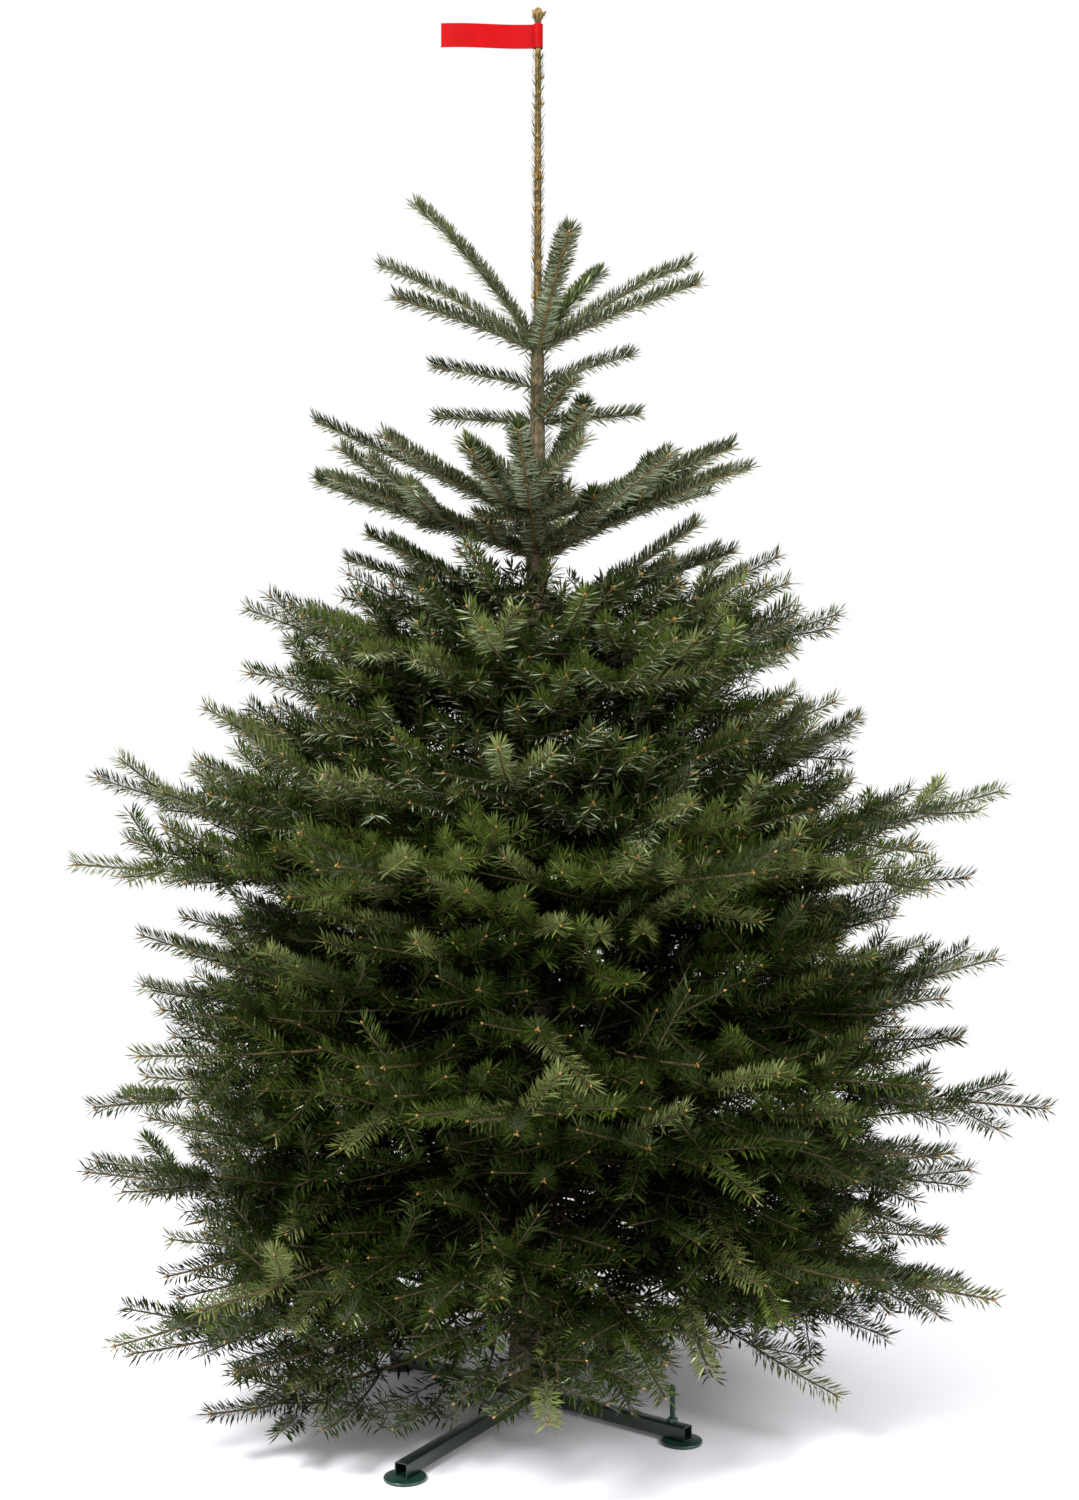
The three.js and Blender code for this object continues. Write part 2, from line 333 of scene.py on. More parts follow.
# The tone of a spray's newest shoots, of last year's, and of all older ones. Older shoots lie further in, so
# the deep tone they get is partly painted shade.
TONE_BY_AGE = {"fresh_needle": ("fresh_needle", "green_needle", "deep_needle"),
               "green_needle": ("green_needle", "green_needle", "deep_needle"),
               "deep_needle": ("green_needle", "deep_needle", "deep_needle"),
               "grey_needle": ("grey_needle", "grey_needle", "green_needle")}
shoots = []
tips = []


def keep_shoot(points, age, order, habit):
    """Stores one summer's shoot of a limb and, if it is the newest, its tip for the buds."""
    thick = np.linspace(SHOOT_START + YEARLY_WOOD * age, SHOOT_END + YEARLY_WOOD * max(age - 1, 0),
                        len(points))
    if order >= 2:
        thick = thick * FINEST_TWIGS
    needles = NEW_SHOOTS_CARRY[order] if age == 0 or habit["high"] else OLD_SHOOTS_CARRY[min(age, 4)]
    shoots.append({"points": np.array(points), "thick": thick, "high": habit["high"], "age": age,
                   "order": order, "tone": TONE_BY_AGE[habit["tone"]][min(age, 2)], "needles": needles})
    if age == 0:
        tips.append((points[-1], unit(points[-1] - points[-2]), order))


def part_way(points, share):
    """The point at a share of the way along a shoot."""
    place = share * (len(points) - 1)
    low = min(int(place), len(points) - 2)
    return points[low] + (points[low + 1] - points[low]) * (place - low)


# %% [markdown]
# Three functions call each other to make the fan. A limb grows summer by summer. Each summer's shoot forks
# where it ends. And every branch of the fork is a limb again, one summer younger, until the branching is
# three deep. What keeps it from looking drawn with a ruler is a little chance at each step.

# %% The growth rule
FORK_ANGLE = math.radians(54)
RISE, RISE_SPREAD = 0.05, 0.2
STRONG_SHOOTS, STRONG_RISE = 0.07, 1.1
PULL, LIFT, WANDER = 0.18, 0.05, 0.05
SHOOTS_BETWEEN, SIZE_BETWEEN = 0.9, 0.7
LOWEST_SHOOT = 0.075
ANGLE_VARIES, SPAN_VARIES, BETWEEN_AT = (0.86, 1.12), (0.84, 1.12), (0.35, 0.65)


def side_limb(position, heading, side, seasons, length, order, habit):
    """A side limb that leaves its parent at the fork angle, in the plane of the fan, and leans a little up."""
    flat = turned(upward(heading), heading, habit["roll"])
    angle = side * FORK_ANGLE * rng.uniform(*ANGLE_VARIES)
    start = turned(heading, flat, angle)
    start = unit(start + UP * (rng.normal(RISE, RISE_SPREAD) + habit["sag"]))
    if seasons == 1 and not habit["high"] and rng.random() < STRONG_SHOOTS:
        start = unit(start + UP * STRONG_RISE)
    grow(position, start, heading, seasons, length, order, habit)


def grow(position, heading, pull, seasons, length, order, habit):
    """A limb of several summers, with everything that forks from it. pull is the way it bends."""
    for season in range(seasons):
        age = seasons - 1 - season
        span = length * rng.uniform(*SPAN_VARIES) * (0.9 if age else 1.0)
        lift = LIFT + 0.25 * habit["sag"] + (LIFT if age == 0 else 0.0)
        points = [position]
        for step in range(STEPS[order]):
            bend = PULL * pull + UP * lift + rng.normal(0, WANDER, 3)
            heading = unit(heading + bend / STEPS[order])
            if position[2] < LOWEST_SHOOT:
                heading = unit(heading * np.array([1.0, 1.0, 0.0]) + UP * 0.06)
            position = position + heading * span / STEPS[order]
            points.append(position)
        keep_shoot(points, age, order, habit)
        if age:
            fork(points, heading, age, length, order, habit)


def fork(points, heading, age, length, order, habit):
    """The side limbs of one shoot: a pair at its end, and weaker ones between."""
    if order >= 2:
        return
    length = length * SIDE_LENGTH[order + 1]
    for side in (-1, 1):
        side_limb(points[-1], heading, side, age, length, order + 1, habit)
        if order == 0 and rng.random() < SHOOTS_BETWEEN:
            spot = part_way(points, rng.uniform(*BETWEEN_AT))
            side_limb(spot, heading, side, max(age - 1, 1), length * SIZE_BETWEEN, order + 1, habit)


print("side limbs leave at", round(math.degrees(FORK_ANGLE)), "degrees")

# %% [markdown]
# The limb in the middle of each mass follows the model's own line from trunk to tip, so that the crown
# keeps its outline. The thick masses low on the tree hold several limbs of the same tier, one over the
# other, as the real crown does, so companions are grown above and below the first, turned a little and less
# long.

# %% The limb in the middle of a mass
# Each companion: its turn as a share of the mass's spread, its start as a share of the mass's depth over (+)
# or under (-) the limb, and its length as a share of the limb's.
COMPANIONS = [(0.74, 0.4, 0.95), (-0.74, -0.4, 0.93), (0.15, -1.0, 0.82), (-0.3, 0.95, 0.8), (0.6, -0.6, 0.88),
              (-0.65, 0.35, 0.88), (0.05, 0.5, 0.92)]
COMPANION_COUNT = {"second_whorl": 2, "short_bough": 2, "third_whorl": 6, "fourth_whorl": 7,
                   "fifth_whorl": 7, "bottom_whorl": 7}
UPPER_COMPANIONS_SHORTER = {"fourth_whorl": 0.84}
TIER_SAG = {"fifth_whorl": -0.05, "bottom_whorl": -0.13}
GREY_TIERS = ("top_shoot", "upper_spray", "lower_spray", "second_whorl", "short_bough")
GREY_SPRAYS = 0.72
# The lower the tier, the more of its sprays get the deep tone, as painted shade.
DEEP_SHADE_SPRAYS, MIDDLE_SPRAYS = {"third_whorl": 0.2, "fourth_whorl": 0.26}, 0.34


def pick_tone(tier):
    """The tone of one spray: greyer high on the tree, a deeper or fresher green below, with deep ones, as
    painted shade, more often the lower the tier.
    """
    if tier in GREY_TIERS:
        return rng.choice(["grey_needle", "green_needle"], p=[GREY_SPRAYS, 0.28])
    dark = DEEP_SHADE_SPRAYS.get(tier, 0.42)
    return rng.choice(["fresh_needle", "green_needle", "deep_needle"], p=[0.66 - dark, MIDDLE_SPRAYS, dark])


def spray_habit(tier, most_roll):
    """What every shoot of one spray shares: its tone, how it sags, how its fan is rolled, if it is high up."""
    return {"tone": pick_tone(tier), "sag": TIER_SAG.get(tier, 0.0), "roll": rng.normal(0, most_roll),
            "high": tier in GREY_TIERS}


def limb_point(mass, reach, height_of_start):
    """A point of the model's limb. Inside the first ring it is drawn straight to the trunk."""
    table = mass["table"]
    height = np.interp(reach, np.append(0.0, table[:, 0]), np.append(height_of_start, table[:, 1]))
    spot = mass["root"] + mass["out"] * reach
    return np.array([spot[0], spot[1], height])


def lead_limb(mass, seasons):
    """The main limb, with its forks held inside the width that the mass has."""
    table = mass["table"]
    tip = table[-1, 0] - 0.006
    slope = (table[1, 1] - table[0, 1]) / max(table[1, 0] - table[0, 0], 1e-3)
    start_height = table[0, 1] - slope * table[0, 0]
    start = trunk_radius(start_height) * 0.7
    marks = start + (tip - start) * np.linspace(0, 1, seasons + 1) ** 0.94
    widest = table[:, 2].max()
    for season in range(seasons):
        age = seasons - 1 - season
        reaches = np.linspace(marks[season], marks[season + 1], STEPS[0] + 1)
        points = [limb_point(mass, r, start_height) for r in reaches]
        habit = spray_habit(mass["tier"], 0.12)
        keep_shoot(points, age, 0, habit)
        if not age:
            continue
        heading = unit(points[-1] - points[0])
        room = widest / math.sin(FORK_ANGLE) * 1.06
        length = min((tip - start) / seasons * 1.02, room / age / SIDE_LENGTH[1])
        fork(points, heading, age, length, 0, habit)


# %% [markdown]
# The companions start from the trunk, over or under the main limb, and grow freely. Under the masses at the
# front right the lowest ones are left out, because a lopped fir stands clear of the arm of its stand there.

# %% The limbs round it
def over_the_open_arm(mass):
    """Whether a mass hangs over the arm of the stand that isn't hidden."""
    return mass["tier"] == "bottom_whorl" and mass["out"][1] < -0.1 and mass["out"][0] > -0.3


def companions(mass, seasons):
    """More limbs of the same mass, over and under the first."""
    table = mass["table"]
    reach = table[-1, 0]
    turn = math.atan2(mass["out"][1], mass["out"][0])
    spread = math.atan2(table[:, 2].max(), table[np.argmax(table[:, 2]), 0])
    for sideways, lift, share in COMPANIONS[:COMPANION_COUNT[mass["tier"]]]:
        if lift < 0 and over_the_open_arm(mass):
            continue
        if lift > 0:
            share *= UPPER_COMPANIONS_SHORTER.get(mass["tier"], 1.0)
        depth = table[:3, 3].mean() if lift > 0 else table[:3, 4].mean()
        height = table[0, 1] + lift * depth
        aim = turn + sideways * spread * rng.uniform(0.85, 1.1)
        sag = TIER_SAG.get(mass["tier"], 0.0)
        rise = (table[-1, 1] - table[0, 1]) / reach + 0.05 + 0.6 * sag
        heading = level_heading(aim, math.atan(rise) + rng.normal(0, 0.05))
        years = max(seasons - 1, 1)
        habit = spray_habit(mass["tier"], 0.3)
        start = trunk_middle(height) + heading * trunk_radius(height) * 0.6
        grow(start, heading, heading, years, reach * share / years, 0, habit)


for mass in masses:
    seasons = TIER_SEASONS[mass["tier"]]
    lead_limb(mass, seasons)
    if mass["tier"] in COMPANION_COUNT:
        companions(mass, seasons)
print("shoots", len(shoots), "tips", len(tips))

# %% [markdown]
# ## Light and shade
# Inside the crown a fir stands in its own shade, and old needles fall there, so the needles get fewer towards
# the trunk. Their shade is painted: shoots deep inside get the near-black tone, and half-shaded shoots and
# many low ones lose their fresh green. How far out a shoot is, is measured against the others at its own
# height. The newest shoots at the very outside get the lightest tone as painted light, more often high up than
# low down.

# %% Thin out in the dark
SAME_HEIGHT, OUTERMOST_PERCENT = 0.07, 88
# From the trunk outwards, the share of its needles that a shoot keeps.
OUT_FROM_TRUNK, KEPT_THERE = [0.25, 0.6, 0.8, 1.0], [0.3, 0.5, 0.74, 1.0]
SHADE_OUT_TO, HALF_SHADE_OUT_TO, IN_THE_LIGHT = 0.66, 0.82, 0.85
LIT_TIPS, SHADED_TIPS, SHADED_FRESH, SHADED_BELOW = 0.34, 0.2, 0.5, 0.62


def shoot_length(shoot):
    return np.linalg.norm(np.diff(shoot["points"], axis=0), axis=1).sum()


shoot_places = np.array([s["points"].mean(0) for s in shoots])
shoot_reaches = np.array([np.linalg.norm(p[:2] - trunk_middle(p[2])[:2]) for p in shoot_places])
for shoot, place, reach in zip(shoots, shoot_places, shoot_reaches):
    if shoot["high"]:
        continue
    level = np.abs(shoot_places[:, 2] - place[2]) < SAME_HEIGHT
    outer = reach / np.percentile(shoot_reaches[level], OUTERMOST_PERCENT)
    low_down = place[2] <= SHADED_BELOW
    shoot["needles"] *= np.interp(outer, OUT_FROM_TRUNK, KEPT_THERE)
    newest = shoot["age"] == 0 and shoot["order"] < 2 and outer > IN_THE_LIGHT
    # Shoots deep inside get the near-black tone as painted shade, half-shaded and low shoots lose their fresh
    # green, and the outermost newest ones get the light tip tone as painted light.
    if outer < SHADE_OUT_TO:
        shoot["tone"] = "deep_needle"
    elif outer < HALF_SHADE_OUT_TO and shoot["tone"] == "fresh_needle":
        shoot["tone"] = "green_needle"
    elif newest and rng.random() < (SHADED_TIPS if low_down else LIT_TIPS):
        shoot["tone"] = "tip_needle"
    elif low_down and shoot["tone"] == "fresh_needle" and rng.random() < SHADED_FRESH:
        shoot["tone"] = "green_needle"

total_length = sum(shoot_length(s) for s in shoots)
needled_length = sum(shoot_length(s) * s["needles"] for s in shoots)
print("shoots are", round(total_length), "m long in all, as good as", round(needled_length), "m fully needled")

# %% [markdown]
# ## The tree of nodes that sets needles
# Needles stand round a twig in a spiral, each turned about 137.5 degrees from the last, but those of this
# fir are combed upwards and sideways and leave the underside bare. The tree below walks along every shoot,
# sets a point each time a needle is due, works out its turn in the spiral, squeezes that turn into the arc
# that is open to it, and leans the needle forwards. Inputs for spacing, arc, lean and size make the same
# tree serve the pale needles underneath and the short ones along the leader.

# %% One needle
NEEDLE_LENGTH = 0.0265
CURL = 0.0024
KITE = [(0, 1, 3), (1, 2, 3)]


def needle_shape(name, corners, faces):
    """A needle's outline along +X, bent a little upwards, as a mesh object."""
    bent = [(x * NEEDLE_LENGTH, y, x * CURL) for x, y in corners]
    return bpy.data.objects.new(name, new_mesh(name, bent, [], faces))


def kite_blade(name, half_width):
    """The simplest needle: two triangles, pointed at both ends."""
    return needle_shape(name, [(0.0, 0.0), (0.6, -half_width), (1.0, 0.0), (0.6, half_width)], KITE)


blunt_blade = needle_shape("blunt_blade", [
    (0.0, -0.0007), (0.0, 0.0007), (0.7, 0.0012), (0.7, -0.0012), (1.0, 0.0)], [(0, 3, 2, 1), (3, 4, 2)])
slim_blade = kite_blade("slim_blade", 0.0013)
inner_blade = kite_blade("inner_blade", 0.0021)
print("a needle is", NEEDLE_LENGTH * 1000, "mm long")

# %% How such a tree starts and ends
def start_tree(name, inputs, output):
    """An empty tree, the identifiers of its inputs by name, and the sockets that bring them in."""
    tree = bpy.data.node_groups.new(name, "GeometryNodeTree")
    sockets = {}
    for label, kind in inputs.items():
        socket = tree.interface.new_socket(label, in_out="INPUT", socket_type="NodeSocket" + kind)
        sockets[label] = socket.identifier
    tree.interface.new_socket(output, in_out="OUTPUT", socket_type="NodeSocketGeometry")
    return tree, sockets, tree.nodes.new("NodeGroupInput").outputs


def attribute(tree, name, kind="FLOAT"):
    return add(tree, "GeometryNodeInputNamedAttribute", {"data_type": kind}, {"Name": name}).outputs[0]


def finish_tree(tree, result, finish):
    """Turns instances into plain geometry, gives it its material and sends it out."""
    real = add(tree, "GeometryNodeRealizeInstances", {}, {0: result})
    finished = add(tree, "GeometryNodeSetMaterial", {}, {"Geometry": real.outputs[0], "Material": finish})
    tree.links.new(finished.outputs[0], tree.nodes.new("NodeGroupOutput").inputs[0])


# %% The tree
GOLDEN_TURN = 0.381966
TURN_CHANCE, ROLL_CHANCE, LEAN_CHANCE, SIZE_CHANCE = 0.16, 0.75, (0.82, 1.14), (0.84, 1.08)
LESS_ON_TOP, LEAST_AT_BUD = 0.16, 0.75


def needle_tree():
    """Shoots in, needles out."""
    tree, sockets, given = start_tree("needles_on_shoots", {
        "Shoots": "Geometry", "Spacing": "Float", "Arc start": "Float", "Arc end": "Float", "Lean": "Float",
        "Size": "Float", "Seed": "Int", "Needle": "Object", "Finish": "Material"}, "Needles")

    def value(operation, *terms):
        return add(tree, "ShaderNodeMath", {"operation": operation}, dict(enumerate(terms))).outputs[0]

    def vector(operation, *terms):
        return add(tree, "ShaderNodeVectorMath", {"operation": operation}, dict(enumerate(terms))).outputs[0]

    def scaled(v, amount):
        return add(tree, "ShaderNodeVectorMath", {"operation": "SCALE"}, {0: v, "Scale": amount}).outputs[0]

    def chance(low, high, offset):
        seed = value("ADD", given["Seed"], float(offset))
        return add(tree, "FunctionNodeRandomValue", {"data_type": "FLOAT"}, {
            2: low, 3: high, "Seed": seed}).outputs[1]

    curves = add(tree, "GeometryNodeMeshToCurve", {}, {0: given["Shoots"]})
    due = add(tree, "GeometryNodeCurveToPoints", {"mode": "LENGTH"}, {
        "Curve": curves.outputs[0], "Length": given["Spacing"]})
    forward = due.outputs["Tangent"]
    kept = add(tree, "FunctionNodeCompare", {"data_type": "FLOAT", "operation": "LESS_THAN"}, {
        0: chance(0.0, 1.0, 1), 1: attribute(tree, "needles")})
    # The turn in the spiral, from -1 to 1, and then the angle from straight up that it is squeezed to.
    turn = value("FRACT", value("MULTIPLY", add(tree, "GeometryNodeInputIndex").outputs[0], GOLDEN_TURN))
    swing = value("SUBTRACT", value("MULTIPLY", turn, 2.0), 1.0)
    reach = value("SUBTRACT", given["Arc end"], given["Arc start"])
    open_angle = value("ADD", value("MULTIPLY", value("ABSOLUTE", swing), reach), given["Arc start"])
    angle = value("MULTIPLY", open_angle, value("SIGN", swing))
    angle = value("ADD", angle, chance(-TURN_CHANCE, TURN_CHANCE, 2))
    side = vector("NORMALIZE", vector("CROSS_PRODUCT", forward, attribute(tree, "over", "FLOAT_VECTOR")))
    above = vector("CROSS_PRODUCT", side, forward)
    outwards = vector("ADD", scaled(above, value("COSINE", angle)), scaled(side, value("SINE", angle)))
    # The lean away from the shoot, less on top and less still where needles crowd round the bud.
    to_tip = value("MULTIPLY", value("SUBTRACT", 1.06, attribute(tree, "along")), 6.0)
    crowded = value("SMOOTH_MIN", 1.0, to_tip, 0.2)
    upright = value("SUBTRACT", 1.0, value("MULTIPLY", value("COSINE", angle), LESS_ON_TOP))
    lean = value("MULTIPLY", value("MULTIPLY", given["Lean"], upright), chance(*LEAN_CHANCE, 3))
    share = value("ADD", value("MULTIPLY", crowded, 1 - LEAST_AT_BUD), LEAST_AT_BUD)
    lean = value("MULTIPLY", lean, share)
    point_to = vector("ADD", scaled(forward, value("COSINE", lean)), scaled(outwards, value("SINE", lean)))
    facing = add(tree, "FunctionNodeAxesToRotation", {"primary_axis": "X", "secondary_axis": "Z"}, {
        "Primary Axis": point_to, "Secondary Axis": above})
    roll = add(tree, "FunctionNodeAxisAngleToRotation", {}, {
        "Axis": (1.0, 0.0, 0.0), "Angle": chance(-ROLL_CHANCE, ROLL_CHANCE, 4)})
    rolled = add(tree, "FunctionNodeRotateRotation", {"rotation_space": "LOCAL"}, {
        "Rotation": facing.outputs[0], "Rotate By": roll.outputs[0]})
    size = value("MULTIPLY", given["Size"], chance(*SIZE_CHANCE, 5))
    size = value("MULTIPLY", size, attribute(tree, "needle_size"))
    blade = add(tree, "GeometryNodeObjectInfo", {}, {"Object": given["Needle"]})
    placed = add(tree, "GeometryNodeInstanceOnPoints", {}, {
        "Points": due.outputs["Points"], "Selection": kept.outputs[0], "Instance": blade.outputs["Geometry"],
        "Rotation": rolled.outputs[0], "Scale": size})
    finish_tree(tree, placed.outputs[0], given["Finish"])
    return tree, sockets


needles_tree, needle_inputs = needle_tree()
print("needle tree", len(needles_tree.nodes), "nodes, inputs", list(needle_inputs))

# %% [markdown]
# Geometry Nodes need something to start from: a mesh with nothing but edges, one chain for each shoot, that
# carries what the growth rule knew as named attributes. Once a tree has run, its result is copied into a
# plain mesh, because only that lasts when the model is sent on.

# %% From shoots to a finished mesh
def store(mesh, fact, numbers):
    """Stores a number or a vector for each point of a mesh."""
    numbers = np.array(numbers, np.float32)
    kind, field = ("FLOAT", "value") if numbers.ndim == 1 else ("FLOAT_VECTOR", "vector")
    mesh.attributes.new(fact, kind, "POINT").data.foreach_set(field, numbers.ravel())


def skeleton(chosen, name):
    """A mesh of edges for some shoots, with their facts stored on its points."""
    counts = [len(s["points"]) for s in chosen]
    starts = np.cumsum([0] + counts[:-1])
    edges = [(a + i, a + i + 1) for a, n in zip(starts, counts) for i in range(n - 1)]
    mesh = new_mesh(name, np.concatenate([s["points"] for s in chosen]), edges, [])
    along = [np.linspace(0, 1, n) if s["age"] == 0 else np.zeros(n) for s, n in zip(chosen, counts)]
    over = [s.get("over", upward(unit(s["points"][-1] - s["points"][0]))) for s in chosen]
    store(mesh, "thick", np.concatenate([s["thick"] for s in chosen]))
    store(mesh, "needles", np.repeat([s["needles"] for s in chosen], counts))
    store(mesh, "needle_size", np.repeat([s.get("size", 1.0) for s in chosen], counts))
    store(mesh, "along", np.concatenate(along))
    store(mesh, "over", np.repeat(over, counts, axis=0))
    return mesh


def run_tree(mesh, tree, sockets, inputs, name):
    """Runs a tree on a mesh and returns the result as a plain object at the origin."""
    source = add_object(name + "_source", mesh)
    modifier = source.modifiers.new("grow", "NODES")
    modifier.node_group = tree
    for label, value in inputs.items():
        modifier[sockets[label]] = value
    evaluated = source.evaluated_get(bpy.context.evaluated_depsgraph_get())
    plain = bpy.data.meshes.new_from_object(evaluated)
    source.modifiers.clear()
    bpy.data.objects.remove(source)
    plain.name = name
    return add_object(name, plain)


def triangles(piece):
    return sum(len(p.vertices) - 2 for p in piece.data.polygons)


# %% [markdown]
# The crown's needles share one budget, which sets how close together they stand. The few shoots high on the
# tree are seen one by one against the light, so they get all their needles, with a blunter blade, and more
# of the pale undersides. The tips that are seen from below get some pale needles too.

# %% Set the needles, tone by tone
NEEDLE_BUDGET = 550000
MOST_PER_PIECE = 92000
needle_spacing = needled_length / NEEDLE_BUDGET
needle_pieces = []


def split_shoots(chosen, spacing):
    """Lists of shoots, each list light enough for one piece."""
    lists, count = [[]], 0
    for shoot in chosen:
        needles = shoot_length(shoot) * shoot["needles"] / spacing
        if count + needles > MOST_PER_PIECE:
            lists.append([])
            count = 0
        lists[-1].append(shoot)
        count += needles
    return lists


def set_needles(chosen, label, tone, spacing, arc, lean=0.95, size=1.0, blade=blunt_blade):
    """Needles of one tone on some shoots, in as many pieces as it takes."""
    for number, part in enumerate(split_shoots(chosen, spacing), 1):
        name = f"{label}_{number}"
        piece = run_tree(skeleton(part, name), needles_tree, needle_inputs, {
            "Spacing": spacing, "Arc start": arc[0], "Arc end": arc[1], "Lean": lean, "Size": size,
            "Seed": 11 * len(needle_pieces) + 3, "Needle": blade, "Finish": needle_materials[tone]}, name)
        needle_pieces.append(piece)
        print(name, len(part), "shoots", triangles(piece), "triangles")


LOW_ARC, PALE_LOW_ARC, HIGH_ARC, PALE_HIGH_ARC = (0.0, 2.5), (1.5, 2.5), (0.0, 1.75), (1.2, 2.3)
PALE_LOW_SPACING, HIGH_SPACING = 0.003, 0.00045
SEEN_FROM_BELOW = 0.86
low_shoots = [s for s in shoots if not s["high"]]
print("needle spacing", round(needle_spacing * 1000, 2), "mm")
for tone in ("tip_needle", "fresh_needle", "green_needle", "deep_needle"):
    set_needles([s for s in low_shoots if s["tone"] == tone], tone + "s", tone, needle_spacing, LOW_ARC,
                lean=1.0, blade=inner_blade if tone == "deep_needle" else slim_blade)
seen_from_below = [s for s in low_shoots if s["age"] == 0 and s["order"] < 2
                   and s["points"][0][2] > SEEN_FROM_BELOW]
set_needles(seen_from_below, "low_pale_needles", "pale_underside", PALE_LOW_SPACING, PALE_LOW_ARC,
            blade=slim_blade)
for tone in ("grey_needle", "green_needle"):
    high_shoots = [s for s in shoots if s["tone"] == tone and s["high"]]
    set_needles(high_shoots, "high_" + tone + "s", tone, HIGH_SPACING, HIGH_ARC, lean=1.02, size=0.94)
    set_needles(high_shoots, "high_pale_" + tone + "s", "pale_underside", HIGH_SPACING * 2, PALE_HIGH_ARC,
                size=0.94)

# %% [markdown]
# ## Twigs and limbs
# Every shoot also gets its wood: a tube along the same chain, as thick as the growth rule made it. The low
# twigs have three sides, since there are thousands and each is only a millimetre or two thick, and limbs
# six or seven.

# %% Wood along the shoots
def wood_tree():
    """Shoots in, tubes out."""
    tree, sockets, given = start_tree("wood_on_shoots", {
        "Shoots": "Geometry", "Sides": "Int", "Finish": "Material"}, "Wood")
    curves = add(tree, "GeometryNodeMeshToCurve", {}, {0: given["Shoots"]})
    outline = add(tree, "GeometryNodeCurvePrimitiveCircle", {"mode": "RADIUS"}, {
        "Resolution": given["Sides"], "Radius": 1.0})
    tubes = add(tree, "GeometryNodeCurveToMesh", {}, {
        "Curve": curves.outputs[0], "Profile Curve": outline.outputs[0], "Scale": attribute(tree, "thick"),
        "Fill Caps": True})
    finish_tree(tree, tubes.outputs[0], given["Finish"])
    return tree, sockets


wood_nodes = wood_tree()


def grow_wood(chosen, name, sides, bark):
    """The tubes of some shoots as one finished piece."""
    piece = run_tree(skeleton(chosen, name), *wood_nodes, {"Sides": sides, "Finish": bark}, name)
    piece.data.shade_smooth()
    print(name, triangles(piece), "triangles")
    return piece


low_twigs = [s for s in low_shoots if s["order"] > 0]
half = len(low_twigs) // 2
wood = [grow_wood(low_twigs[:half], "low_twigs_1", 3, twig_bark),
        grow_wood(low_twigs[half:], "low_twigs_2", 3, twig_bark),
        grow_wood([s for s in shoots if s["order"] > 0 and s["high"]], "high_twigs", 4, young_bark),
        grow_wood([s for s in low_shoots if s["order"] == 0], "low_limbs", 6, bough_bark),
        grow_wood([s for s in shoots if s["order"] == 0 and s["high"]], "high_limbs", 7, young_bark)]

# %% [markdown]
# ## Buds
# Each shoot ends in a fat bud with smaller ones round it, laid down for next spring. They are only a few
# millimetres long, but there are thousands, and they put a warm dot on every tip. One small spindle is
# enough for all of them, set on every tip by a tree that turns it to the shoot's own direction.

# %% A bud and the tree that sets it
BUD_LENGTH, BUD_RADIUS = 0.0062, 0.0021


def bud_shape():
    """A four-sided spindle along +X, widest near its base."""
    ring = [(0.36, math.cos(a), math.sin(a)) for a in np.arange(4) * math.pi / 2]
    corners = [(-0.1, 0, 0)] + ring + [(1.0, 0, 0)]
    faces = [(0, 1 + (i + 1) % 4, 1 + i) for i in range(4)] + [(5, 1 + i, 1 + (i + 1) % 4) for i in range(4)]
    corners = [(x * BUD_LENGTH, y * BUD_RADIUS, z * BUD_RADIUS) for x, y, z in corners]
    return bpy.data.objects.new("bud_spindle", new_mesh("bud_spindle", corners, [], faces))


def bud_tree():
    """Tips in, buds out."""
    tree, sockets, given = start_tree("buds_on_tips", {
        "Tips": "Geometry", "Bud": "Object", "Finish": "Material"}, "Buds")
    turned_to = add(tree, "FunctionNodeAlignRotationToVector", {"axis": "X"}, {
        "Vector": attribute(tree, "aim", "FLOAT_VECTOR")})
    shape = add(tree, "GeometryNodeObjectInfo", {}, {"Object": given["Bud"]})
    placed = add(tree, "GeometryNodeInstanceOnPoints", {}, {
        "Points": given["Tips"], "Instance": shape.outputs["Geometry"],
        "Rotation": turned_to.outputs[0], "Scale": attribute(tree, "bud_size")})
    finish_tree(tree, placed.outputs[0], given["Finish"])
    return tree, sockets


print("a bud is", BUD_LENGTH * 1000, "mm long")

# %% [markdown]
# A bud needs a place, a direction and a size. Limbs and their first side shoots end in one, strong shoots in a
# cluster, and the leader in the fattest cluster of all; the finest shoots get none. A few side buds sit on the
# leader itself, most of them at the next whorl to come.

# %% Set the buds
CLUSTERS_ABOVE = 1.2
SIDE_BUD, LEADER_SIDE_BUD, LEADER_RING_BUD, LEADER_BUD = 0.72, 1.35, 1.85, 2.0
LEADER_BUD_HEIGHTS = [1.66, 1.72, 1.79, 1.838, 1.842, 1.848, 1.9, 1.95, 1.99]


def buds_round(position, aim, order):
    """The terminal bud of a shoot, and the smaller ones round it on a strong shoot."""
    found = [(position, aim, 1.0)]
    if order == 0 or position[2] > CLUSTERS_ABOVE:
        side = unit(np.cross(aim, UP + 0.01))
        for turn in (0.3, 2.4, 4.5):
            outwards = turned(side, aim, turn)
            found.append((position - aim * 0.002 + outwards * 0.0015, unit(aim + outwards * 0.9), SIDE_BUD))
    return found


